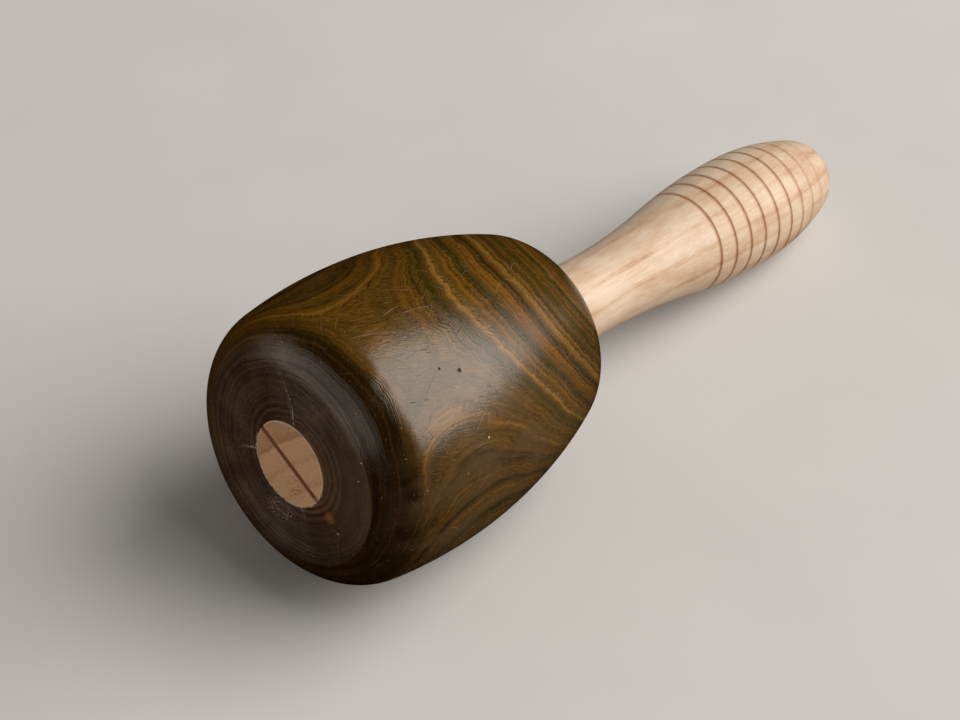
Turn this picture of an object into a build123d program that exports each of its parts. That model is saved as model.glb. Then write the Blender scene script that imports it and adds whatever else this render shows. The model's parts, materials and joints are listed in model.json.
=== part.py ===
from build123d import *
from math import asin, atan2, cos, degrees, hypot, sin, sqrt
import os

# Round carving mallet: a turned, barrel-shaped lignum vitae head on a turned ash handle.
# The handle runs right through the head as a tenon, which a thin hardwood wedge spreads
# and locks at the striking end. The mallet lies on its side, resting on the bulge of the
# head and the swell of the grip. Millimetres, +Z up, floor at z = 0.
#
# Turned shapes are drawn as (station, radius): a station is a distance along the turning
# axis from the flat end face of the head, towards the end of the grip.

# Driving dimensions of the head
head_length = 101.6
head_diameter = 86.0
widest_station = 34.5         # where the barrel is thickest
side_arc_radius = 152.0       # lengthwise curve of the barrel's side
face_round = 14.0             # rounding between the side and the end face
rear_round = 16.5             # rounding between the side and the handle's end

# Driving dimensions of the handle
tenon_diameter = 25.4
overall_length = 239.0
neck_station = 125.0
neck_diameter = 24.6
swell_station = 198.0
swell_diameter = 36.6
neck_share = 0.49             # share of the rise from neck to swell that is hollow-curved
taper_arc_radius = 98.0       # curve from the swell towards the end of the grip
groove_count = 9
groove_pitch = 6.8
first_groove_station = 169.0
groove_width = 0.9

# Driving dimensions of the wedge and of the saw kerf that it fills
wedge_thickness = 1.6
wedge_tip_thickness = 0.6
wedge_length = 45.0
wedge_width = 23.4
wedge_shift = 0.4             # the wedge sits off centre, which leaves a gap beside one edge
wedge_turn = 28.0             # turn of the wedge about the axis, in degrees
kerf_depth = 62.0

# Radii and curve centres worked out from them
head_radius = head_diameter / 2
tenon_radius = tenon_diameter / 2
neck_radius = neck_diameter / 2
swell_radius = swell_diameter / 2
side_centre_radius = head_radius - side_arc_radius
taper_centre_radius = swell_radius - taper_arc_radius

# The hollow neck arc and the full swell arc meet on the straight line from neck to swell
swell_rise = swell_radius - neck_radius
neck_to_swell = swell_station - neck_station
both_arc_radii = (neck_to_swell**2 + swell_rise**2) / (2 * swell_rise)
neck_arc_radius = neck_share * both_arc_radii
swell_arc_radius = both_arc_radii - neck_arc_radius
bend_station = neck_station + neck_share * neck_to_swell
bend_radius = neck_radius + neck_share * swell_rise

# The round end is a ball tangent to the taper arc, with its top at the overall length
taper_run = overall_length - swell_station
end_ball_radius = (taper_arc_radius**2 - taper_run**2 - taper_centre_radius**2) / (
    2 * (taper_arc_radius - taper_run)
)
end_ball_station = overall_length - end_ball_radius
ball_offset = end_ball_station - swell_station
ball_reach = hypot(ball_offset, taper_centre_radius)
ball_join_station = end_ball_station + end_ball_radius * ball_offset / ball_reach
ball_join_radius = -end_ball_radius * taper_centre_radius / ball_reach

# Lying tilt: the floor is the common tangent of the head's side arc and the grip's taper arc
centre_gap = swell_station - widest_station
centre_drop = taper_centre_radius - side_centre_radius
arc_difference = side_arc_radius - taper_arc_radius
tilt = asin(arc_difference / hypot(centre_gap, centre_drop)) - atan2(centre_drop, centre_gap)
face_height = widest_station * sin(tilt) + side_centre_radius * cos(tilt) + side_arc_radius


def side_radius(station):
    """Radius of the barrel's side, before its ends are rounded."""
    return side_centre_radius + sqrt(side_arc_radius**2 - (station - widest_station) ** 2)


def neck_curve_radius(station):
    """Radius of the hollow neck curve."""
    return neck_radius + neck_arc_radius - sqrt(neck_arc_radius**2 - (station - neck_station) ** 2)


def grip_radius(station):
    """Radius of the swelling grip, on either side of its thickest place."""
    arc_radius = swell_arc_radius if station < swell_station else taper_arc_radius
    return swell_radius - arc_radius + sqrt(arc_radius**2 - (station - swell_station) ** 2)


# The lowest corner of the face rounding is the rear limit in X, the end ball the front one
round_station = face_round
round_reach = side_arc_radius - face_round
round_radius = side_centre_radius + sqrt(round_reach**2 - (widest_station - round_station) ** 2)
low_x = round_station * cos(tilt) - round_radius * sin(tilt) - face_round
high_x = end_ball_station * cos(tilt) + end_ball_radius
face_x = -(low_x + high_x) / 2

# Turning plane: its X runs along the axis, its Y points up and away from the axis
axis_direction = Vector(cos(tilt), 0, -sin(tilt))
turning_plane = Plane(origin=(face_x, 0, face_height), x_dir=axis_direction, z_dir=(0, -1, 0))
turning_axis = Axis(turning_plane.origin, axis_direction)
kerf_plane = Plane(turning_plane.location * Rotation(wedge_turn, 0, 0))
wedge_plane = kerf_plane.offset(-wedge_shift)
face_plane = Plane(origin=turning_plane.origin, x_dir=(0, 1, 0), z_dir=axis_direction)


# Head: a barrel turned from one block and bored through for the tenon
with BuildPart() as head:
    with BuildSketch(turning_plane):
        with BuildLine():
            end_face = Line((0, 0), (0, side_radius(0)))
            side = ThreePointArc(
                end_face @ 1,
                (widest_station, head_radius),
                (head_length, side_radius(head_length)),
            )
            Polyline(side @ 1, (head_length, 0), (0, 0))
        make_face()
        fillet(vertices().sort_by_distance(end_face @ 1)[0], face_round)
        fillet(vertices().sort_by_distance(side @ 1)[0], rear_round)
    revolve(axis=turning_axis)
    with BuildSketch(face_plane):
        Circle(tenon_radius)
    extrude(amount=head_length, mode=Mode.SUBTRACT)
head.part.label = "head"


# Handle: grip, hollow neck and through tenon, turned in one piece
with BuildPart() as handle:
    with BuildSketch(turning_plane):
        with BuildLine():
            tenon = Polyline(
                (0, 0),
                (0, tenon_radius),
                (head_length, tenon_radius),
                (head_length, neck_curve_radius(head_length)),
            )
            neck = ThreePointArc(
                tenon @ 1, (neck_station, neck_radius), (bend_station, bend_radius)
            )
            swell = TangentArc(neck @ 1, (swell_station, swell_radius), tangent=neck % 1)
            taper = TangentArc(swell @ 1, (ball_join_station, ball_join_radius), tangent=swell % 1)
            end_round = TangentArc(taper @ 1, (overall_length, 0), tangent=taper % 1)
            Line(end_round @ 1, tenon @ 0)
        make_face()
    revolve(axis=turning_axis)

    # Decorative grooves round the swell
    with BuildSketch(turning_plane):
        for groove in range(groove_count):
            station = first_groove_station + groove * groove_pitch
            with Locations((station, grip_radius(station))):
                Circle(groove_width / 2)
    revolve(axis=turning_axis, mode=Mode.SUBTRACT)

    # Saw kerf across the tenon, opened to a taper by the wedge, and closed beyond its tip
    with BuildSketch(kerf_plane):
        Polygon(
            (0, wedge_thickness / 2),
            (0, -wedge_thickness / 2),
            (wedge_length, -wedge_tip_thickness / 2),
            (kerf_depth, -wedge_tip_thickness / 2),
            (kerf_depth, wedge_tip_thickness / 2),
            (wedge_length, wedge_tip_thickness / 2),
            align=None,
        )
    extrude(amount=tenon_diameter, both=True, mode=Mode.SUBTRACT)
handle.part.label = "handle"


# Wedge: a thin tapered slip of dark hardwood, flush with the end face
with BuildPart() as wedge:
    with BuildSketch(wedge_plane):
        Polygon(
            (0, wedge_thickness / 2),
            (0, -wedge_thickness / 2),
            (wedge_length, -wedge_tip_thickness / 2),
            (wedge_length, wedge_tip_thickness / 2),
            align=None,
        )
    extrude(amount=wedge_width / 2, both=True)
wedge.part.label = "wedge"


os.makedirs("parts", exist_ok=True)
export_step(head.part, "parts/head.step")
export_step(handle.part, "parts/handle.step")
export_step(wedge.part, "parts/wedge.step")

print(f"tilt {degrees(tilt):.2f} degrees, end face at x {face_x:.2f}, z {face_height:.2f}")
print(f"end ball radius {end_ball_radius:.2f}, neck arc {neck_arc_radius:.1f}, swell arc {swell_arc_radius:.1f}")
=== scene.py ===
"""Looks of a round carving mallet: waxed lignum vitae head, ash handle, hardwood wedge.

The turned pieces are drawn as outlines of (station, radius) in millimetres. A station is a
distance along the turning axis from the flat end face of the head. An angle of 0 points across
the mallet (+Y), and 90 degrees points up and away from the axis. The materials use the same
frame, as (across, up, station). The camera stands on the near side, where across is negative.
"""

import json
import random
from math import asin, atan2, ceil, cos, hypot, pi, radians, sin, sqrt

import bmesh
import bpy
import numpy as np
from mathutils import Matrix, Vector, noise


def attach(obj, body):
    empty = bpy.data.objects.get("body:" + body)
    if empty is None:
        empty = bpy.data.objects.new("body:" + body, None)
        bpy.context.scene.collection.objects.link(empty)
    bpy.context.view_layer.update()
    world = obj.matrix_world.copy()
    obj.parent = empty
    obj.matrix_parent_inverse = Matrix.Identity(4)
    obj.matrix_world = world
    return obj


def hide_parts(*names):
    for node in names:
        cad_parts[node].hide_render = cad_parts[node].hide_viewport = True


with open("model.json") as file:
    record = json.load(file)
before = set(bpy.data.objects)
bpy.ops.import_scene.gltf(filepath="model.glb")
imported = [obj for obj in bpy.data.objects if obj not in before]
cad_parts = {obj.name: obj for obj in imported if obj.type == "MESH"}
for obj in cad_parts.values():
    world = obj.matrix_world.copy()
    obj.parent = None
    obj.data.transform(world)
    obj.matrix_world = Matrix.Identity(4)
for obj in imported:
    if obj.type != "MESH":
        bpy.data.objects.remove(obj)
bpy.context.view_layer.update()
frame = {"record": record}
random.seed(21)

MM = 0.001

# ---------------------------------------------------------------- frame of the turned work

END_FACE = frame["record"]["mounts"][0]     # flat end of the head, stated above the axis
MOUNT_ABOVE_AXIS = 20.0
AXIS = -Vector(END_FACE["axis"]).normalized()
ACROSS = Vector((0, 1, 0))
UP = AXIS.cross(ACROSS)
FACE_CENTRE = Vector(END_FACE["pos_m"]) - UP * MOUNT_ABOVE_AXIS * MM
TURNING = Matrix((ACROSS, UP, AXIS)).transposed()

# Sizes of the CAD model, in millimetres
HEAD_LENGTH = 101.6
HEAD_RADIUS = 43.0
WIDEST_STATION = 34.5
SIDE_ARC = 152.0
FACE_ROUND = 14.0
REAR_ROUND = 16.5
TENON_RADIUS = 12.7
OVERALL_LENGTH = 239.0
NECK_STATION = 125.0
NECK_RADIUS = 12.3
SWELL_STATION = 198.0
SWELL_RADIUS = 18.3
NECK_SHARE = 0.49
TAPER_ARC = 98.0
GROOVE_PITCH = 6.8
GROOVE_STATIONS = [169.0 + GROOVE_PITCH * k for k in range(9)]
GROOVE_HALF_WIDTH = 0.45
WEDGE_THICKNESS = 1.6
WEDGE_TIP = 0.6
WEDGE_LENGTH = 45.0
WEDGE_WIDTH = 23.4
WEDGE_SHIFT = 0.4
WEDGE_TURN = radians(28.0)
KERF_DEPTH = 62.0

# Small departures from the CAD model, in millimetres
HAND_WEAR = 0.02                            # the used grip is this much slimmer and shorter
WEDGE_EXTRA = 0.4                           # the wedge is this much wider at one edge

# The end face stops at an edge, where the rounding steps back. The step is deepest high on
# the near side
FACE_EDGE_RADIUS = 30.3
FACE_EDGE_STATION = 0.29
EDGE_CUT = 0.85
EDGE_CUT_REACH = 0.75                       # the step is mostly made this far behind the edge
EDGE_CUT_ANGLE = radians(124.0)


def place(station, radius, angle):
    """Point of the turned work, in metres in the shared frame."""
    spoke = ACROSS * cos(angle) + UP * sin(angle)
    return FACE_CENTRE + (AXIS * station + spoke * radius) * MM


def turned(points):
    """Frame points (n x 3, metres) as (across, up, station) in millimetres."""
    return (points - np.array(FACE_CENTRE)) @ np.array(TURNING) / MM


# ---------------------------------------------------------------- outlines


def steps(start, end, step):
    """Evenly spaced values from start to end, no further apart than step."""
    count = max(1, ceil(abs(end - start) / step))
    return [start + (end - start) * k / count for k in range(count + 1)]


def line(start, end, step):
    """Points along a straight stretch of an outline."""
    parts = steps(0.0, 1.0, step / hypot(end[0] - start[0], end[1] - start[1]))
    return [(start[0] + (end[0] - start[0]) * t, start[1] + (end[1] - start[1]) * t) for t in parts]


def arc(centre, radius, start, end, step):
    """Points along an arc of an outline, between two directions in radians."""
    return [
        (centre[0] + radius * cos(a), centre[1] + radius * sin(a))
        for a in steps(start, end, step / radius)
    ]


def joined(*stretches):
    """One outline from stretches that meet end to end, without repeated points."""
    outline = []
    for stretch in stretches:
        for point in stretch:
            if not outline or hypot(point[0] - outline[-1][0], point[1] - outline[-1][1]) > 1e-6:
                outline.append(point)
    return outline


def side_radius(station):
    """Radius of the head's side, between its two roundings."""
    return HEAD_RADIUS - SIDE_ARC + sqrt(SIDE_ARC**2 - (station - WIDEST_STATION) ** 2)


def head_outline():
    """Closed outline of the head: end face, face round, side, rear round, rear face, bore."""
    mouth = 0.3                             # rounding of the bore's mouth
    fine, medium = 0.45, 0.7                # spacing of the outline's points
    side_centre = (WIDEST_STATION, HEAD_RADIUS - SIDE_ARC)

    def round_centre(station, radius):
        reach = SIDE_ARC - radius
        return station, side_centre[1] + sqrt(reach**2 - (station - WIDEST_STATION) ** 2)

    front = round_centre(FACE_ROUND, FACE_ROUND)
    rear = round_centre(HEAD_LENGTH - REAR_ROUND, REAR_ROUND)
    front_join = atan2(front[1] - side_centre[1], front[0] - side_centre[0])
    rear_join = atan2(rear[1] - side_centre[1], rear[0] - side_centre[0])
    edge = pi - asin((FACE_EDGE_RADIUS - front[1]) / FACE_ROUND)
    return joined(
        arc((mouth, TENON_RADIUS + mouth), mouth, -pi / 2, -pi, mouth / 2),
        line((0, TENON_RADIUS + mouth), (0, front[1]), fine),
        arc(front, FACE_ROUND, pi, edge, fine),
        arc(front, FACE_ROUND, edge, front_join, fine),
        arc(side_centre, SIDE_ARC, front_join, rear_join, medium),
        arc(rear, REAR_ROUND, rear_join, 0, medium),
        line((HEAD_LENGTH, rear[1]), (HEAD_LENGTH, TENON_RADIUS), medium),
        line((HEAD_LENGTH, TENON_RADIUS), (mouth, TENON_RADIUS), HEAD_LENGTH / 8),
    )[:-1]


def grip_radius(station):
    """Radius of the handle outside the head, without its grooves."""
    rise, run = SWELL_RADIUS - NECK_RADIUS, SWELL_STATION - NECK_STATION
    both = (run**2 + rise**2) / (2 * rise)
    if station < NECK_STATION + NECK_SHARE * run:
        hollow = NECK_SHARE * both
        return NECK_RADIUS + hollow - sqrt(hollow**2 - (station - NECK_STATION) ** 2)
    full = (1 - NECK_SHARE) * both if station < SWELL_STATION else TAPER_ARC
    return SWELL_RADIUS - full + sqrt(full**2 - (station - SWELL_STATION) ** 2)


def groove_strength(station):
    """How deeply a groove is cut and burned. The last three get fainter towards the tip."""
    full, faint = 0.8, 0.3
    full_until, faint_at = GROOVE_STATIONS[5], GROOVE_STATIONS[8]
    share = min(1.0, max(0.0, (station - full_until) / (faint_at - full_until)))
    return full - (full - faint) * share


def groove_depth(station):
    """Depth of the round-bottomed grooves at a station."""
    nearest = min(abs(station - g) for g in GROOVE_STATIONS)
    if nearest >= GROOVE_HALF_WIDTH:
        return 0.0
    return 0.8 * groove_strength(station) * sqrt(GROOVE_HALF_WIDTH**2 - nearest**2)


def handle_outline():
    """Outline of the handle from the middle of the tenon's end to the tip of the grip."""
    rim = 0.25                              # rounding of the tenon's end
    lip = 0.6                               # reach of the fine points round each groove
    taper_run = OVERALL_LENGTH - SWELL_STATION
    taper_centre = SWELL_RADIUS - TAPER_ARC
    ball = (TAPER_ARC**2 - taper_run**2 - taper_centre**2) / (2 * (TAPER_ARC - taper_run))
    ball_station = OVERALL_LENGTH - ball
    join = atan2(-taper_centre, ball_station - SWELL_STATION)
    ball_start = ball_station + ball * cos(join)

    stations = steps(HEAD_LENGTH, GROOVE_STATIONS[0] - 1, 1.0)
    for g in GROOVE_STATIONS:
        stations += steps(g - lip, g + lip, 0.1)
        stations += steps(g + 2 * lip, g + GROOVE_PITCH - 2 * lip, 0.8)
    stations = [s for s in stations if s < ball_start - 0.3]
    return joined(
        line((0, 0), (0, TENON_RADIUS - rim), 0.6),
        arc((rim, TENON_RADIUS - rim), rim, pi, pi / 2, rim / 2),
        line((rim, TENON_RADIUS), (HEAD_LENGTH, TENON_RADIUS), 8.0),
        [(s, grip_radius(s) - groove_depth(s) - HAND_WEAR) for s in stations],
        arc((ball_station, 0), ball - HAND_WEAR, join, 0, 0.7)[:-1],
        [(OVERALL_LENGTH - HAND_WEAR, 0)],
    )


# ---------------------------------------------------------------- meshes


def add_object(name, mesh):
    """A smooth-shaded object of a finished mesh, in the shared frame."""
    mesh.shade_smooth()
    piece = bpy.data.objects.new(name, mesh)
    bpy.context.scene.collection.objects.link(piece)
    return piece


def add_shape(name, shape):
    """An object of a finished bmesh, which is used up."""
    mesh = bpy.data.meshes.new(name)
    shape.to_mesh(mesh)
    shape.free()
    return add_object(name, mesh)


def lathe(name, outline, segments):
    """Turns an outline round the axis. Ends on the axis become poles, else the outline is a ring."""
    has_poles = outline[0][1] == 0
    rings = outline[1:-1] if has_poles else outline
    angles = [2 * pi * k / segments for k in range(segments)]
    vertices = [place(s, r, a) for s, r in rings for a in angles]
    faces = []
    for ring in range(len(rings) - has_poles):
        here = ring * segments
        there = (ring + 1) % len(rings) * segments
        for k in range(segments):
            after = (k + 1) % segments
            faces.append((here + k, here + after, there + after, there + k))
    if has_poles:
        first, last = len(vertices), len(vertices) + 1
        end = (len(rings) - 1) * segments
        vertices += [place(*outline[0], 0), place(*outline[-1], 0)]
        for k in range(segments):
            after = (k + 1) % segments
            faces.append((first, after, k))
            faces.append((end + k, end + after, last))
    mesh = bpy.data.meshes.new(name)
    mesh.from_pydata(vertices, [], faces)
    mesh.validate()
    return add_object(name, mesh)


def vertex_vectors(piece, name):
    """A vector of every vertex of a piece, such as "co" in metres, as an n x 3 array."""
    flat = np.empty(len(piece.data.vertices) * 3)
    piece.data.vertices.foreach_get(name, flat)
    return flat.reshape(-1, 3)


def set_mask(piece, name, values):
    """Stores one number per vertex, for the materials to read."""
    piece.data.attributes.new(name, "FLOAT", "POINT").data.foreach_set("value", values)


def bell(gap, width):
    """1 where the gap is 0, falling smoothly to nearly nothing at twice the width."""
    return np.exp(-((gap / width) ** 2))


def distance_to_path(points, path):
    """Distance of every point to a path of straight runs, and how far along the path it lies."""
    best = np.full(len(points), np.inf)
    along = np.zeros(len(points))
    runs = len(path) - 1
    for k in range(runs):
        start, run = path[k], path[k + 1] - path[k]
        t = np.clip((points - start) @ run / (run @ run), 0, 1)
        gap = np.linalg.norm(points - start - t[:, None] * run, axis=1)
        nearer = gap < best
        best[nearer] = gap[nearer]
        along[nearer] = (k + t[nearer]) / runs
    return best, along


# ---------------------------------------------------------------- head


def head_point(station, radius, angle_degrees):
    """Point of the head as (across, up, station) in millimetres."""
    a = radians(angle_degrees)
    return Vector((radius * cos(a), radius * sin(a), station))


def on_side(station, angle_degrees):
    """Point of the head's side."""
    return head_point(station, side_radius(station), angle_degrees)


def on_end(radius, angle_degrees, station=0.0):
    """Point of the end face, or of the rounding just behind it."""
    return head_point(station, radius, angle_degrees)


# Drying checks in the end face: (radius, angle in degrees, station if not 0) along each, then
# its width, its depth and how much wax it holds
CHECKS = [
    (
        [(12.9, 92), (19.8, 87), (23.7, 82), (26, 81), (32.6, 81, 1.2), (37.4, 79, 4.4), (39.3, 78, 7)],
        0.20, 0.4, 1.0,
    ),
    ([(12.9, -10), (17.0, -13), (21.0, -16), (26.3, -19)], 0.18, 0.3, 0.9),
    ([(12.9, -116), (15.5, -118), (18.5, -119)], 0.18, 0.3, 0.6),
    ([(23.1, -151), (25.4, -144), (29.6, -137, 0.3), (31.6, -134, 0.8)], 0.36, 0.3, 0.1),
    ([(12.9, -70), (15.0, -73), (18.7, -72)], 0.14, 0.2, 0.6),
]
WAX_SMEAR = [(16.5, -95), (19.3, -84), (16.5, -80), (18.6, -72)]

# Other marks on the head: (point, size in mm)
PITS = [
    (on_side(32.5, 131), 0.65),
    (on_side(27, 127), 0.40),
    (on_side(60, 96), 0.5),
    (on_side(48, 205), 0.8),
    (on_side(70, 290), 0.7),
    (on_side(22, 330), 0.9),
    (on_end(22.9, -150), 0.9),
]
KNOTS = [
    (on_end(18.4, -152), 2.3),
    (on_side(31, 88), 0.5),
]
SPECKS = [
    (on_side(11, 166), 0.32),
    (on_side(34, 158), 0.34),
    (on_end(29.8, 148, station=0.3), 0.28),
    (on_end(27.0, 159), 0.26),
    (on_end(23.0, -149), 0.26),
    (on_side(58, 262), 0.3),
]
DENT_COUNT = 46


def end_path(marks):
    """Points of a path in the end face."""
    return [on_end(*mark) for mark in marks]


def check_marks(local):
    """How far the drying checks sink the surface, and how much wax they hold."""
    sink, wax = np.zeros(len(local)), np.zeros(len(local))
    for marks, width, depth, waxed in CHECKS:
        gap, along = distance_to_path(local, np.array(end_path(marks)))
        fade = 1 - 0.8 * along
        sink += depth * fade * bell(gap, width)
        wax = np.maximum(wax, waxed * fade * bell(gap, width * 1.2))
    return sink, wax


def other_wax(local, radius):
    """Wax smeared on the end face below the tenon, and left in the joint's lower half."""
    gap, _ = distance_to_path(local, np.array(end_path(WAX_SMEAR)))
    in_joint = bell(radius - TENON_RADIUS, 0.5) * (local[:, 1] < 3)
    return np.maximum(0.42 * bell(gap, 2.4), 0.9 * in_joint)


def dents(local):
    """How far the scattered shallow dents of use sink the surface."""
    sink = np.zeros(len(local))
    for _ in range(DENT_COUNT):
        station = random.uniform(3, 90)
        angle = random.uniform(0, 360)
        size = random.uniform(0.7, 2.2)
        depth = random.uniform(0.03, 0.12) * size / 1.5
        sink += depth * bell(np.linalg.norm(local - np.array(on_side(station, angle)), axis=1), size)
    return sink


def ripple(local):
    """The slight unevenness of hand turning, up to about 0.1 mm deep."""
    slow, quick = 0.06, 0.2
    swell = [noise.noise(Vector(p) * slow) + 0.3 * noise.noise(Vector(p) * quick) for p in local]
    return 0.05 * (np.array(swell) + 1)


def edge_cut(local, radius):
    """How far the rounding steps back behind the end face's edge. It runs out along the side."""
    past_edge = np.clip(local[:, 2] - FACE_EDGE_STATION, 0, None)
    step = 1 - np.exp(-past_edge / EDGE_CUT_REACH)
    runs_out = 1 - np.clip((local[:, 2] - 8.0) / 14.0, 0, 1)
    turn = np.arctan2(local[:, 1], local[:, 0]) - EDGE_CUT_ANGLE
    facing = (1 + np.cos(turn)) / 2
    return EDGE_CUT * step * runs_out**2 * facing**1.2 * (radius > FACE_EDGE_RADIUS - 0.01)


def flat_end_mask(local, radius):
    """1 on the flat end face. Its edge is crisp on the near side and blurred on the far side."""
    crisp = local[:, 2] < FACE_EDGE_STATION + 0.02
    blurred = (1 - np.clip((radius - FACE_EDGE_RADIUS - 1) / 6, 0, 1)) * (local[:, 2] < 30)
    blur_share = np.clip(0.5 + 1.2 * np.cos(np.arctan2(local[:, 1], local[:, 0])), 0, 1)
    return np.maximum(crisp, blurred * blur_share)


def build_head():
    """The turned head with its drying checks, dents and slight hand-worn unevenness."""
    head = lathe("head_wood_barrel", head_outline(), segments=400)
    points, outward = vertex_vectors(head, "co"), vertex_vectors(head, "normal")
    local = turned(points)
    radius = np.hypot(local[:, 0], local[:, 1])
    outside = radius > TENON_RADIUS + 0.1
    sink, wax = check_marks(local)
    sink += dents(local) + ripple(local)
    points -= outward * (sink * outside * MM)[:, None]
    points += np.array(AXIS) * (edge_cut(local, radius) * outside * MM)[:, None]
    head.data.vertices.foreach_set("co", points.ravel())
    head.data.update()

    set_mask(head, "end_grain", np.abs(outward @ np.array(AXIS)))
    set_mask(head, "flat_end", flat_end_mask(local, radius) * outside)
    set_mask(head, "wax", np.maximum(wax, other_wax(local, radius)))
    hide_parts("head")
    return head


# ---------------------------------------------------------------- handle and wedge


def wedge_point(station, thickness, width):
    """Point of the wedge's plane: the wedge stands across the tenon at its own turn."""
    a = WEDGE_TURN
    wide = ACROSS * cos(a) + UP * sin(a)
    thick = UP * cos(a) - ACROSS * sin(a)
    return FACE_CENTRE + (AXIS * station + wide * width + thick * thickness) * MM


def slip(sections, low_edge, high_edge):
    """A closed bar in the wedge's plane, through sections of (station, thickness)."""
    shape = bmesh.new()
    rings = []
    for station, thickness in sections:
        half = thickness / 2
        corners = ((-half, low_edge), (half, low_edge), (half, high_edge), (-half, high_edge))
        rings.append([shape.verts.new(wedge_point(station, *corner)) for corner in corners])
    shape.faces.new(rings[0])
    shape.faces.new(reversed(rings[-1]))
    for here, there in zip(rings, rings[1:]):
        for k in range(4):
            after = (k + 1) % 4
            shape.faces.new((here[after], here[k], there[k], there[after]))
    bmesh.ops.recalc_face_normals(shape, faces=shape.faces)
    return shape


def cut_kerf(handle):
    """Saws the wedge's slot across the tenon."""
    clearance = 0.2
    face, tip = WEDGE_THICKNESS + clearance, WEDGE_TIP + clearance
    reach = TENON_RADIUS + 2
    sections = ((-1.0, face), (WEDGE_LENGTH, tip), (KERF_DEPTH, tip))
    cutter = add_shape("kerf_cutter", slip(sections, -reach, reach))
    modifier = handle.modifiers.new("kerf", "BOOLEAN")
    modifier.operation = "DIFFERENCE"
    modifier.solver = "EXACT"
    modifier.object = cutter
    evaluated = handle.evaluated_get(bpy.context.evaluated_depsgraph_get())
    mesh = bpy.data.meshes.new_from_object(evaluated)
    handle.modifiers.clear()
    handle.data = mesh
    bpy.data.objects.remove(cutter)


def build_handle():
    """The turned handle: tenon with its saw kerf, neck, and grip with burned grooves."""
    handle = lathe("handle_turned_ash", handle_outline(), segments=256)
    cut_kerf(handle)
    local = turned(vertex_vectors(handle, "co"))
    radius = np.hypot(local[:, 0], local[:, 1])

    # The burn is full to 0.35 mm from a groove's middle and gone at 0.85 mm
    burn = np.zeros(len(local))
    for g in GROOVE_STATIONS:
        gap = np.abs(local[:, 2] - g)
        burn = np.maximum(burn, groove_strength(g) * np.clip(1.7 - gap / 0.5, 0, 1))
    set_mask(handle, "burn", burn)
    set_mask(handle, "end_grain", np.clip(1 - local[:, 2] / 0.3, 0, 1) * (radius < TENON_RADIUS))
    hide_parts("handle")
    return handle


def build_wedge():
    """The wedge: a tapered slip with rounded arrises, its end a little below the tenon's."""
    recess, arris = 0.12, 0.12
    low_edge = WEDGE_SHIFT - WEDGE_WIDTH / 2
    high_edge = WEDGE_SHIFT + WEDGE_WIDTH / 2 + WEDGE_EXTRA
    shape = slip(((recess, WEDGE_THICKNESS), (WEDGE_LENGTH, WEDGE_TIP)), low_edge, high_edge)
    bmesh.ops.bevel(
        shape, geom=shape.edges[:], offset=arris * MM, segments=3, affect="EDGES", profile=0.5
    )
    wedge = add_shape("wedge_slip", shape)
    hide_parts("wedge")
    return wedge


# ---------------------------------------------------------------- shader nodes


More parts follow.
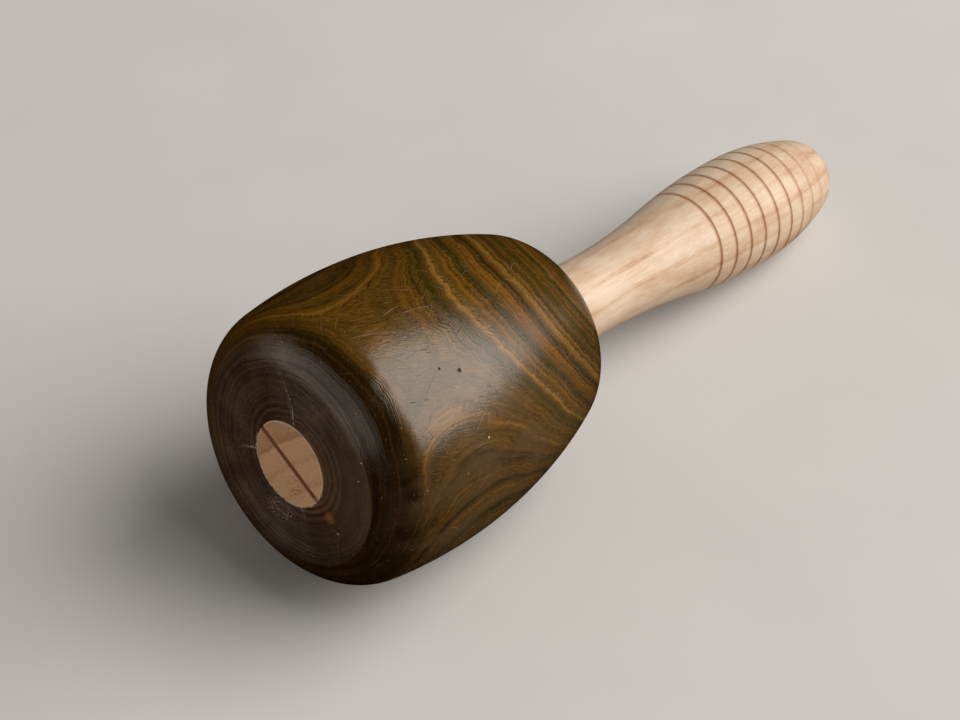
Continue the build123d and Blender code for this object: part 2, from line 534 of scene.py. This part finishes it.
class Shader:
    """Builds one procedural material, a node at a time, on its Principled surface."""

    def __init__(self, name):
        self.material = bpy.data.materials.new(name)
        self.material.use_nodes = True
        self.node_tree = self.material.node_tree
        self.surface = self.node_tree.nodes["Principled BSDF"]

    def feed(self, socket, value):
        """Links a node's output to a socket, or sets the socket to a plain value."""
        if isinstance(value, bpy.types.NodeSocket):
            self.node_tree.links.new(value, socket)
        else:
            socket.default_value = value

    def add(self, kind, inputs, **settings):
        """A new node with its inputs fed and its settings made."""
        node = self.node_tree.nodes.new("ShaderNode" + kind)
        for name, value in settings.items():
            setattr(node, name, value)
        for name, value in inputs.items():
            self.feed(node.inputs[name], value)
        return node

    def cover(self, colour, roughness, relief=None):
        """Feeds the surface and hands over the material."""
        self.feed(self.surface.inputs["Base Color"], colour)
        self.feed(self.surface.inputs["Roughness"], roughness)
        if relief is not None:
            self.feed(self.surface.inputs["Normal"], relief)
        return self.material

    # Numbers

    def math(self, operation, *values):
        return self.add("Math", dict(enumerate(values)), operation=operation).outputs[0]

    def chained(self, operation, values):
        """Combines any number of values, from the first to the last."""
        result = values[0]
        for value in values[1:]:
            result = self.math(operation, result, value)
        return result

    def total(self, *values):
        return self.chained("ADD", values)

    def product(self, *values):
        return self.chained("MULTIPLY", values)

    def rescale(self, value, low, high, to_low=0.0, to_high=1.0, smooth=False):
        """Takes low to to_low and high to to_high, and goes no further. Low may be above high."""
        inputs = {0: value, 1: low, 2: high, 3: to_low, 4: to_high}
        kind = "SMOOTHSTEP" if smooth else "LINEAR"
        return self.add("MapRange", inputs, interpolation_type=kind).outputs[0]

    def fall(self, value, low, high):
        """1 up to low, falling to 0 at high."""
        return self.rescale(value, low, high, 1.0, 0.0)

    def spread(self, noise_value, to_low=0.0, to_high=1.0):
        """Takes the range where most of a noise lies to another range."""
        return self.rescale(noise_value, 0.3, 0.7, to_low, to_high)

    # Vectors

    def vector(self, operation, *values):
        node = self.add("VectorMath", dict(enumerate(values)), operation=operation)
        return node.outputs["Value" if operation in ("LENGTH", "DISTANCE", "DOT_PRODUCT") else "Vector"]

    def scaled(self, vector, x, y, z):
        return self.vector("MULTIPLY", vector, (x, y, z))

    def stretched(self, vector, share):
        """Shrinks Z to a share, which draws a pattern out along it."""
        return self.scaled(vector, 1, 1, share)

    def off_axis(self, vector):
        """Distance from the Z axis."""
        return self.vector("LENGTH", self.scaled(vector, 1, 1, 0))

    def separate(self, vector):
        return self.add("SeparateXYZ", {0: vector}).outputs

    def distance_to_run(self, vector, start, end):
        """Distance to a straight stretch between two points."""
        run = end - start
        offset = self.vector("SUBTRACT", vector, start)
        share = self.vector("DOT_PRODUCT", offset, run / run.length_squared)
        share = self.rescale(share, 0.0, 1.0)
        nearest = self.add("VectorMath", {0: run, "Scale": share}, operation="SCALE").outputs[0]
        return self.vector("LENGTH", self.vector("SUBTRACT", offset, nearest))

    def near(self, vector, marks, core, edge):
        """1 at each mark (point, size), falling to 0 between core and edge of its size."""
        gaps = []
        for point, size in marks:
            gaps.append(self.math("DIVIDE", self.vector("DISTANCE", vector, point), size))
        return self.fall(self.chained("MINIMUM", gaps), core, edge)

    # Patterns

    def noise(self, vector, scale, detail=2.0, roughness=0.5):
        inputs = {"Vector": vector, "Scale": scale, "Detail": detail, "Roughness": roughness}
        return self.add("TexNoise", inputs).outputs["Fac"]

    def noise_along(self, value, scale, detail=2.0):
        """One-dimensional noise."""
        inputs = {"W": value, "Scale": scale, "Detail": detail}
        return self.add("TexNoise", inputs, noise_dimensions="1D").outputs["Fac"]

    def dots(self, vector, scale):
        """Distance to the nearest of many scattered dots."""
        return self.add("TexVoronoi", {"Vector": vector, "Scale": scale}).outputs["Distance"]

    def scratches(self, vector, spacings, half_width):
        """Fine curved strokes. Each cell of a scattered pattern holds one, with its own lean."""
        strokes = []
        for spacing in spacings:
            cell = self.add("TexVoronoi", {"Vector": vector, "Scale": 1 / spacing}).outputs
            offset = self.vector("SUBTRACT", vector, cell["Position"])
            lean = self.vector("NORMALIZE", self.vector("SUBTRACT", cell["Color"], (0.5, 0.5, 0.5)))
            reach = self.vector("LENGTH", offset)
            bow = self.product(self.math("POWER", reach, 2.0), 0.10 / spacing)
            side = self.total(self.vector("DOT_PRODUCT", offset, lean), bow)
            stroke = self.fall(self.math("ABSOLUTE", side), half_width * 0.5, half_width)
            there = self.fall(reach, spacing * 0.35, spacing * 0.6)
            chosen = self.rescale(self.separate(cell["Color"])[0], 0.45, 0.95)
            strokes.append(self.product(stroke, there, chosen))
        return self.chained("MAXIMUM", strokes)

    def mask(self, name):
        """A number that the mesh stores per vertex."""
        return self.add("Attribute", {}, attribute_name=name).outputs["Fac"]

    def object_position(self):
        """The surface point in metres. No object is moved, so this is the shared frame."""
        return self.add("TexCoord", {}).outputs["Object"]

    # Colours

    def ramp(self, value, stops):
        node = self.add("ValToRGB", {"Fac": value})
        elements = node.color_ramp.elements
        while len(elements) < len(stops):
            elements.new(1.0)
        for element, (position, colour) in zip(elements, stops):
            element.position = position
            element.color = (*colour, 1.0)
        return node.outputs["Color"]

    def tones(self, value, colours):
        """Evenly spaced colours, from the first at 0 to the last at 1."""
        last = len(colours) - 1
        return self.ramp(value, [(k / last, colour) for k, colour in enumerate(colours)])

    def bands(self, value, bands):
        """Colours at stated values, with smooth changes between them."""
        low, high = bands[0][0], bands[-1][0]
        stops = [((at - low) / (high - low), colour) for at, colour in bands]
        return self.ramp(self.rescale(value, low, high), stops)

    def long_bands(self, value, bands, most=24):
        """The same for more bands than one ramp holds: a chain of ramps, each taking over in turn."""
        colour = self.bands(value, bands[: most + 1])
        for first in range(most, len(bands) - 1, most):
            beyond = self.math("GREATER_THAN", value, bands[first][0])
            colour = self.mix(beyond, colour, self.bands(value, bands[first : first + most + 1]))
        return colour

    def mix(self, factor, a, b, blend="MIX"):
        node = self.add("Mix", {0: factor, 6: a, 7: b}, data_type="RGBA", blend_type=blend)
        return node.outputs[2]

    def paint(self, colour, amount, tone):
        """Covers a colour with a plain tone, by an amount from 0 to 1."""
        return self.mix(amount, colour, (*tone, 1))

    def dye(self, colour, tone):
        """Multiplies a colour by a plain tone."""
        return self.mix(1.0, colour, (*tone, 1), "MULTIPLY")

    def shade(self, colour, strength):
        """Darkens a colour by a strength under 1, or brightens it by one above 1."""
        grey = self.add("CombineXYZ", {0: strength, 1: strength, 2: strength}).outputs[0]
        return self.mix(1.0, colour, grey, "MULTIPLY")

    # Relief

    def bump(self, height, depth_mm, normal=None):
        inputs = {"Height": height, "Distance": depth_mm * MM, "Strength": 1.0}
        if normal is not None:
            inputs["Normal"] = normal
        return self.add("Bump", inputs).outputs[0]

    def sunken(self, marks, depth_mm, normal):
        """A bump that goes in where the marks are."""
        return self.bump(self.product(marks, -1.0), depth_mm, normal)


class TurnedWood(Shader):
    """A material that knows its spot on the turned work: across, up and station, in mm."""

    def __init__(self, name):
        super().__init__(name)
        inputs = {
            "Vector": self.object_position(),
            "Location": FACE_CENTRE,
            "Rotation": TURNING.to_euler(),
            "Scale": (MM, MM, MM),
        }
        self.spot = self.add("Mapping", inputs, vector_type="TEXTURE").outputs[0]
        self.across, self.up, self.station = self.separate(self.spot)

    def along_pith(self, foot, slope):
        """Coordinates whose Z runs along the middle of the tree, from foot with a slope per mm."""
        direction = Vector((slope[0], slope[1], 1)).normalized()
        inputs = {
            "Vector": self.spot,
            "Location": (foot[0], foot[1], 0),
            "Rotation": direction.to_track_quat("Z", "Y").to_euler(),
        }
        return self.add("Mapping", inputs, vector_type="TEXTURE").outputs[0]

    def wobbled(self, amount_mm):
        """The spot moved about sideways, which makes the outlines of marks ragged."""
        wobble = self.add("TexNoise", {"Vector": self.spot, "Scale": 0.9}).outputs["Color"]
        wander = self.vector("SUBTRACT", wobble, (0.5, 0.5, 0.5))
        return self.vector("ADD", self.spot, self.scaled(wander, amount_mm, amount_mm, 0))


# ---------------------------------------------------------------- lignum vitae

# Tones of the rings: from the pale stripes to the darkest lines, then two redder ones
PALE = (0.172, 0.088, 0.014)
GOLD = (0.128, 0.057, 0.005)
AMBER = (0.091, 0.040, 0.003)
OLIVE = (0.065, 0.033, 0.003)
MOSS = (0.036, 0.026, 0.003)
DARK = (0.021, 0.015, 0.003)
RUST = (0.105, 0.036, 0.004)
UMBER = (0.034, 0.019, 0.003)

# Growth rings of the head: radius from the pith in mm, and the tone there
RINGS = [
    (10.0, MOSS), (11.2, AMBER), (12.2, OLIVE), (13.0, MOSS), (14.0, AMBER), (14.8, MOSS), (16.0, AMBER),
    (16.8, OLIVE), (17.4, MOSS), (18.5, AMBER), (19.3, MOSS), (20.3, RUST), (20.9, OLIVE), (21.5, GOLD),
    (22.2, MOSS), (23.0, OLIVE), (23.6, AMBER), (24.0, OLIVE), (24.5, AMBER), (24.9, MOSS), (25.6, OLIVE),
    (26.2, AMBER), (26.8, DARK), (27.3, GOLD), (27.8, OLIVE), (28.4, PALE), (29.0, AMBER), (29.6, DARK),
    (30.2, AMBER), (30.8, GOLD), (31.6, AMBER), (32.2, MOSS), (32.8, OLIVE), (33.4, GOLD), (33.9, OLIVE),
    (34.5, PALE), (34.9, OLIVE), (35.3, MOSS), (35.7, OLIVE), (36.6, AMBER), (37.0, OLIVE), (37.8, GOLD),
    (38.2, OLIVE), (38.6, AMBER), (39.2, UMBER), (39.8, AMBER), (40.4, UMBER), (41.0, AMBER), (41.6, AMBER),
    (42.0, DARK), (42.5, OLIVE), (43.2, GOLD), (43.7, MOSS), (44.4, RUST), (45.0, DARK), (45.5, GOLD),
    (46.2, RUST), (46.8, PALE), (47.3, MOSS), (48.2, RUST), (49.0, OLIVE), (50.0, RUST),
]

# Where the pith meets the end face (across, up), and how far it drifts per mm of station
HEAD_PITH_FOOT = (-2.1, 2.4)
HEAD_PITH_SLOPE = (-0.023, 0.102)

# The sanded end face: its dark to light tones, the tones of its rusty rings and its lighter near part, and
# the painted shade of its lower part
END_TONES = [(0.016, 0.009, 0.005), (0.032, 0.017, 0.010), (0.056, 0.033, 0.019), (0.088, 0.055, 0.029)]
END_RUST = (0.130, 0.054, 0.020)
END_LIGHT = (0.062, 0.042, 0.021)
END_SHADOW = (0.020, 0.014, 0.007)

# Where the rounding cuts across the fibres, a brown shows through and a dye darkens it
NEAR_BROWN, NEAR_DYE = (0.060, 0.034, 0.008), (0.23, 0.20, 0.24)
FAR_BROWN, FAR_DYE = (0.080, 0.046, 0.010), (0.70, 0.58, 0.60)

FLANK_BROWN_AND_SHEEN = (0.078, 0.046, 0.018)
PORE_BLACK = (0.008, 0.005, 0.003)
PAINTED_SHEEN_GREY = (0.22, 0.20, 0.18)
WAX_CRUMB = (0.36, 0.30, 0.24)
CHECK_BLACK = (0.010, 0.006, 0.004)
KNOT_ORANGE = (0.22, 0.09, 0.014)
PIT_BLACK = (0.006, 0.004, 0.002)
SPECK_CREAM = (0.62, 0.50, 0.36)
SCRATCH_TAN = (0.36, 0.25, 0.12)


def heartwood_rings(s, tree):
    """Distance from the pith in mm, with the slow waviness of real rings."""
    slow = s.noise(s.stretched(tree, 0.35), 0.05, detail=1.0)
    quick = s.noise(s.stretched(tree, 0.15), 0.25)
    return s.total(
        s.off_axis(tree),
        s.rescale(slow, 0.2, 0.8, -0.45, 0.45),
        s.rescale(quick, 0.2, 0.8, -0.22, 0.22),
    )


def interlocked_fibres(s, tree, reach):
    """Fleck and pores, which lean one way in some layers and the other way in the next."""
    flecks, pores = [], []
    for lean_per_mm in (0.009, -0.011):
        turn = s.product(s.separate(tree)[2], lean_per_mm)
        leaned = s.add("VectorRotate", {"Vector": tree, "Angle": turn}, rotation_type="Z_AXIS").outputs[0]
        flecks.append(s.noise(s.stretched(leaned, 0.20), 2.4, detail=3.0, roughness=0.65))
        pores.append(s.dots(s.stretched(leaned, 0.14), 1.0))
    layer = s.rescale(s.noise_along(reach, 0.8, detail=1.0), 0.46, 0.54)
    fleck = s.mix(layer, *flecks)
    pore = s.fall(s.mix(layer, *pores), 0.09, 0.19)
    porous = s.rescale(s.noise(tree, 0.11), 0.45, 0.60)
    return fleck, s.product(pore, porous)


def striped_side(s, tree, reach, fleck, hairlines):
    """Ragged stripes, with painted light making the far side paler and painted shade darkening the near
    flank beside the face.
    """
    ragged = s.total(reach, s.spread(fleck, -0.2, 0.2))
    lines = s.noise_along(reach, 3.0, detail=3.0)
    patches = s.noise(s.stretched(tree, 0.3), 0.09, detail=3.0)
    # painted shade: darker low on the near flank beside the face
    shade_by_face = s.product(s.rescale(s.station, 25.0, 9.0), s.rescale(s.across, -24.0, -40.0))
    strength = s.total(
        s.spread(lines, -0.40, 0.40),
        s.spread(patches, -0.12, 0.12),
        s.spread(fleck, 0.52, 1.48),
        s.spread(hairlines, -0.18, 0.18),
        # painted light: the far side is made paler
        s.rescale(s.across, 4.0, 26.0, 0.0, 0.22),
        s.product(shade_by_face, -0.42),
    )
    return s.shade(s.long_bands(ragged, RINGS), strength)


def crosscut_mask(s):
    """1 where the roundings cut across the fibres, weaker at the rear."""
    steepness = s.total(s.mask("end_grain"), s.rescale(s.across, -40.0, 20.0, 0.11, -0.14))
    crosscut = s.rescale(steepness, 0.28, 0.66, smooth=True)
    return s.product(crosscut, s.rescale(s.station, 40.0, 80.0, 1.0, 0.45))


def darkened(s, colour, crosscut):
    """The roundings drink in oil: nearly black on the near side, brown on the far side."""
    blackened = s.dye(s.paint(colour, 0.3, NEAR_BROWN), NEAR_DYE)
    browned = s.dye(s.paint(colour, 0.3, FAR_BROWN), FAR_DYE)
    far = s.rescale(s.across, -5.0, 25.0)
    return s.mix(crosscut, colour, s.mix(far, blackened, browned))


def sanded_end(s, tree, reach):
    """Dark chocolate end grain: gritty rings, rusty beside the tenon, lighter on the near side, with
    painted shade on its lower part.
    """
    lines = s.noise_along(reach, 0.9, detail=4.0)
    grit = s.noise(s.stretched(tree, 0.3), 2.2, detail=4.0, roughness=0.7)
    cloud = s.noise(s.stretched(tree, 0.3), 0.10)
    clouded = s.rescale(cloud, 0.35, 0.65, -0.07, 0.07)
    tone = s.total(s.product(lines, 0.42), s.product(grit, 0.58), clouded)
    colour = s.tones(s.spread(tone), END_TONES)

    by_tenon = s.product(s.fall(s.off_axis(s.spot), 13.0, 19.5), s.rescale(s.across, 2.0, -9.0))
    colour = s.paint(colour, s.product(by_tenon, s.rescale(lines, 0.42, 0.60, 0.0, 0.85)), END_RUST)
    light = s.product(s.rescale(s.across, -12.0, -24.0), s.rescale(s.up, -18.0, -8.0), 0.5)
    colour = s.paint(colour, light, END_LIGHT)
    # painted shade on the lower part of the face
    low = s.product(s.rescale(s.up, -8.0, -22.0), s.rescale(s.across, 8.0, -14.0), 0.75)
    return s.paint(colour, low, END_SHADOW)


def with_checks(s, colour):
    """Drying checks: dark, with crumbs of pale wax."""
    ragged = s.wobbled(0.7)
    gaps = []
    for marks, width, _, _ in CHECKS:
        points = end_path(marks)
        for start, end in zip(points, points[1:]):
            gaps.append(s.math("DIVIDE", s.distance_to_run(ragged, start, end), width))
    crumbs = s.noise(s.spot, 1.5, detail=3.0, roughness=0.7)
    crack = s.fall(s.chained("MINIMUM", gaps), 0.45, 0.95)
    crack = s.product(crack, s.rescale(crumbs, 0.36, 0.46), 0.8)
    waxed = s.total(crumbs, s.product(s.mask("wax"), 0.30))
    colour = s.paint(colour, crack, CHECK_BLACK)
    return s.paint(colour, s.rescale(waxed, 0.68, 0.76), WAX_CRUMB)


def lignum_vitae():
    """Dense, oily, waxed heartwood: olive, brown and gold rings with interlocked fibres."""
    s = TurnedWood("lignum_vitae")
    tree = s.along_pith(HEAD_PITH_FOOT, HEAD_PITH_SLOPE)
    reach = heartwood_rings(s, tree)
    fleck, pore = interlocked_fibres(s, tree, reach)
    hairlines = s.noise_along(reach, 9.0)
    crosscut, end = crosscut_mask(s), s.mask("flat_end")

    # The wood itself, with browner patches along the near flank: partly the wood's own tone, partly a
    # painted sheen
    colour = striped_side(s, tree, reach, fleck, hairlines)
    colour = darkened(s, colour, crosscut)
    patches = s.rescale(s.noise(s.stretched(tree, 0.5), 0.13), 0.38, 0.62, 0.1, 0.75)
    colour = s.paint(colour, s.product(s.rescale(s.across, -30.0, -42.0), patches), FLANK_BROWN_AND_SHEEN)
    colour = s.mix(end, colour, sanded_end(s, tree, reach))
    colour = s.paint(colour, s.product(pore, 0.65), PORE_BLACK)

    # A faint grey painted sheen, a painted reflection, on the near side behind the rounding
    painted_sheen = s.product(s.rescale(s.across, -16.0, -38.0), s.rescale(s.station, 14.0, 26.0, 0.0, 0.035))
    colour = s.paint(colour, painted_sheen, PAINTED_SHEEN_GREY)
    colour = with_checks(s, colour)

    # Two small knots, and marks of use: pits, pale specks and fine scratches
    colour = s.paint(colour, s.near(s.wobbled(1.6), KNOTS, 0.0, 1.0), KNOT_ORANGE)
    pit = s.near(s.spot, PITS, 0.30, 1.0)
    colour = s.paint(colour, s.product(pit, 0.85), PIT_BLACK)
    colour = s.paint(colour, s.near(s.spot, SPECKS, 0.5, 1.0), SPECK_CREAM)
    scratch = s.scratches(s.spot, spacings=(6.1, 9.3, 15.0), half_width=0.10)
    scratch = s.product(scratch, s.rescale(s.mask("end_grain"), 0.1, 0.6, 1.0, 0.25))
    colour = s.paint(colour, s.product(scratch, 0.30), SCRATCH_TAN)

    # Glossiest where the fibres are cut across, dull in the pits and pores
    waxed = s.rescale(s.noise(s.spot, 0.12, detail=4.0, roughness=0.6), 0.25, 0.75, 0.20, 0.31)
    glossier = s.math("MAXIMUM", s.product(end, 0.4), crosscut)
    rough = s.total(waxed, s.product(glossier, -0.11), s.product(pit, 0.6), s.product(pore, 0.3))

    relief = s.bump(fleck, 0.045)
    relief = s.bump(hairlines, 0.05, relief)
    for marks, depth in ((pore, 0.04), (scratch, 0.04), (pit, 0.25)):
        relief = s.sunken(marks, depth, relief)
    s.surface.inputs["IOR"].default_value = 1.50
    return s.cover(colour, rough, relief)


# ---------------------------------------------------------------- ash

ASH_PITH_DISTANCE = 60.0                    # the handle is cut well away from the pith
ASH_PITH_ANGLE = radians(223)
ASH_PITH_SLOPE = (0.020, 0.022)
ASH_RING_WIDTH = 7.1
ASH_RING_PHASE = 4.6

# Light to dark tones of the turned side, and of the tenon's end
ASH_TONES = [
    (0.65, 0.545, 0.435),
    (0.62, 0.490, 0.370),
    (0.565, 0.405, 0.280),
    (0.48, 0.300, 0.185),
    (0.36, 0.20, 0.105),
]
TENON_TONES = [(0.50, 0.30, 0.165), (0.41, 0.23, 0.11), (0.30, 0.155, 0.07)]
ASH_PORE = (0.28, 0.15, 0.08)
TENON_PORE = (0.13, 0.06, 0.03)
TENON_STAIN = (0.12, 0.045, 0.014)
TENON_RIM_HIGHLIGHT = (0.66, 0.50, 0.36)
BURN_DYE = (0.57, 0.31, 0.15)

# How early the wood is across one ring, from its start at 0 to its end at 1
EARLY_WOOD = [(0.0, 1.0), (0.10, 0.75), (0.22, 0.1), (0.9, 0.0), (1.0, 0.9)]


def early_wood(s, tree, ring_count):
    """The open, darker wood of each ring, stronger in some stretches than in others."""
    early = s.ramp(s.math("FRACT", ring_count), [(at, (level,) * 3) for at, level in EARLY_WOOD])
    strength = s.noise(s.stretched(tree, 0.05), 0.12)
    return s.product(early, s.spread(strength, 0.35, 1.0))


def ash_side(s, tree, early, streak):
    """Colour of the turned side: painted shade makes it a little darker towards the grip, and painted light
    makes the far side paler.
    """
    hair = s.noise(s.stretched(tree, 0.03), 4.5, roughness=0.6)
    cloud = s.noise(s.stretched(s.spot, 0.36), 0.17, detail=3.0, roughness=0.6)
    tone = s.total(
        s.product(early, 0.30),
        s.spread(streak, -0.05, 0.20),
        s.spread(hair, -0.05, 0.11),
        s.rescale(cloud, 0.35, 0.65, -0.05, 0.29),
        # painted shade: a little darker towards the grip, where the light falls off
        s.rescale(s.station, 115.0, 185.0, 0.16, 0.22),
        # painted light: the far side is made paler
        s.rescale(s.across, 0.0, 11.0, 0.0, -0.30),
    )
    return s.tones(tone, ASH_TONES)


def tenon_end(s, tree, early, ring_count):
    """The tenon's end grain: warmer and darker, with a small stain and a painted highlight round its rim.
    """
    grit = s.noise(s.stretched(tree, 0.2), 1.2, detail=5.0, roughness=0.65)
    darker_ring = s.rescale(ring_count, 9.9, 10.0, 0.0, 0.42)
    tone = s.total(s.product(early, 0.5), s.spread(grit, 0.0, 0.5), darker_ring)
    colour = s.tones(tone, TENON_TONES)
    pores = s.fall(s.dots(s.stretched(tree, 0.1), 1.3), 0.12, 0.26)
    pores = s.product(pores, s.rescale(early, 0.25, 0.6), 0.7)
    colour = s.paint(colour, pores, TENON_PORE)
    stain = s.fall(s.vector("DISTANCE", s.spot, (-3.0, -6.5, 0.0)), 1.5, 4.5)
    stain = s.product(stain, s.rescale(s.noise(s.spot, 1.7), 0.54, 0.60), 0.8)
    colour = s.paint(colour, stain, TENON_STAIN)
    # painted highlight: a pale ring along the tenon's rounded rim
    rim = s.rescale(s.off_axis(s.spot), TENON_RADIUS - 0.45, TENON_RADIUS - 0.15)
    return s.paint(colour, s.product(rim, 0.5), TENON_RIM_HIGHLIGHT)


def ash():
    """Pale straight-grained ash with open early-wood pores, satin finish, burned grooves."""
    s = TurnedWood("ash")
    foot = (ASH_PITH_DISTANCE * cos(ASH_PITH_ANGLE), ASH_PITH_DISTANCE * sin(ASH_PITH_ANGLE))
    tree = s.along_pith(foot, ASH_PITH_SLOPE)
    waver = s.noise(s.stretched(tree, 0.08), 0.16)
    reach = s.total(s.off_axis(tree), s.rescale(waver, 0.2, 0.8, -0.8, 0.8))
    ring_count = s.math("DIVIDE", s.total(reach, ASH_RING_PHASE), ASH_RING_WIDTH)
    early = early_wood(s, tree, ring_count)
    streak = s.noise(s.stretched(tree, 0.02), 1.9, detail=4.0, roughness=0.6)

    # Pores stretch along the grain in the early wood
    pore = s.fall(s.dots(s.stretched(tree, 0.07), 1.6), 0.10, 0.22)
    pore = s.product(pore, s.rescale(early, 0.2, 0.7))
    colour = s.paint(ash_side(s, tree, early, streak), s.product(pore, 0.5), ASH_PORE)
    colour = s.mix(s.mask("end_grain"), colour, tenon_end(s, tree, early, ring_count))

    # Friction-burned grooves
    char = s.spread(s.noise(s.spot, 0.5, detail=3.0), 0.7, 1.0)
    burn = s.product(s.mask("burn"), char)
    colour = s.mix(burn, colour, s.dye(colour, BURN_DYE))

    rough = s.spread(s.noise(s.spot, 0.2, detail=3.0), 0.42, 0.54)
    relief = s.sunken(pore, 0.05, s.bump(streak, 0.03))
    s.surface.inputs["Specular IOR Level"].default_value = 0.5
    return s.cover(colour, rough, relief)


# ---------------------------------------------------------------- wedge wood and floor

WEDGE_TONES = [(0.08, 0.024, 0.004), (0.14, 0.042, 0.007), (0.20, 0.063, 0.011)]
FLOOR_GREYS = (0.56, 0.59)


def dark_slip():
    """Red-brown hardwood of the wedge, sawn end showing."""
    s = TurnedWood("wedge_hardwood")
    grit = s.noise(s.stretched(s.spot, 0.15), 2.2, detail=4.0, roughness=0.65)
    colour = s.tones(s.spread(grit), WEDGE_TONES)
    return s.cover(colour, s.spread(grit, 0.45, 0.62), s.bump(grit, 0.05))


def studio_floor():
    """Plain pale board with a very faint mottle."""
    s = Shader("studio_floor")
    mottle = s.noise(s.object_position(), 14.0, detail=4.0)
    colour = s.ramp(mottle, [(at, (grey,) * 3) for at, grey in zip((0.3, 0.7), FLOOR_GREYS)])
    s.surface.inputs["Specular IOR Level"].default_value = 0.15
    return s.cover(colour, s.spread(mottle, 0.75, 0.85))


# ---------------------------------------------------------------- the pieces

head = build_head()
handle = build_handle()
wedge = build_wedge()
for piece, material, slot in (
    (head, lignum_vitae(), "head_wood"),
    (handle, ash(), "handle_wood"),
    (wedge, dark_slip(), "wedge_wood"),
):
    piece.data.materials.clear()
    piece.data.materials.append(material)
    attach(piece, "root")


# ---------------------------------------------------------------- stage, lights, camera

# Lengths in metres and angles in degrees. A heading turns from +X towards +Y
FLOOR_SIZE = 6.4
FLOOR_CELLS = 16
CAMERA_AIM = Vector((-0.0405, 0, 0.0364))
CAMERA_HEADING = 42.82                      # the way the camera looks
CAMERA_PITCH = 42.83                        # how steeply it looks down
CAMERA_DISTANCE = 0.7272


def build_floor():
    """The plain floor. Glossy surfaces don't reflect it, as in the photograph's dark setting."""
    shape = bmesh.new()
    bmesh.ops.create_grid(shape, x_segments=FLOOR_CELLS, y_segments=FLOOR_CELLS, size=FLOOR_SIZE / 2)
    floor = add_shape("studio_floor", shape)
    floor.data.materials.append(studio_floor())
    floor.visible_glossy = False


def direction(heading, elevation):
    """Unit vector towards a heading and an elevation."""
    h, e = radians(heading), radians(elevation)
    return Vector((cos(h) * cos(e), sin(h) * cos(e), sin(e)))


def add_softbox(name, heading, elevation, distance, width, height, power, colour):
    """A rectangular area light that faces the mallet."""
    light = bpy.data.lights.new(name, "AREA")
    light.shape = "RECTANGLE"
    light.size, light.size_y = width, height
    light.energy = power
    light.color = colour
    lamp = bpy.data.objects.new(name, light)
    towards = direction(heading, elevation)
    lamp.location = towards * distance
    lamp.rotation_euler = towards.to_track_quat("Z", "Y").to_euler()
    lamp.visible_camera = False
    bpy.context.scene.collection.objects.link(lamp)


def build_camera():
    """The camera looks down along the mallet from the striking end's side."""
    camera = bpy.data.objects.new("camera", bpy.data.cameras.new("camera"))
    camera.data.sensor_width = 36.0
    camera.data.lens = 94.5
    away = direction(CAMERA_HEADING + 180, CAMERA_PITCH)
    camera.location = CAMERA_AIM + away * CAMERA_DISTANCE
    camera.rotation_euler = away.to_track_quat("Z", "Y").to_euler()
    camera.data.clip_start = 0.05
    bpy.context.scene.collection.objects.link(camera)
    bpy.context.scene.camera = camera


def build_world():
    """Faint warm light from all round, which glossy surfaces don't reflect."""
    world = bpy.data.worlds.new("studio")
    world.use_nodes = True
    background = world.node_tree.nodes["Background"]
    background.inputs["Color"].default_value = (1.0, 0.96, 0.92, 1)
    background.inputs["Strength"].default_value = 0.15
    world.cycles_visibility.glossy = False
    bpy.context.scene.world = world


build_floor()
build_world()
add_softbox(
    "key_softbox", heading=-48.3, elevation=39.5, distance=2.5,
    width=2.39, height=2.89, power=111, colour=(1.0, 0.94, 0.87),
)
add_softbox(
    "fill_softbox", heading=159.4, elevation=8.2, distance=2.52,
    width=2.8, height=0.88, power=23.2, colour=(1.0, 0.88, 0.77),
)
build_camera()
bpy.context.scene.view_settings.view_transform = "Standard"
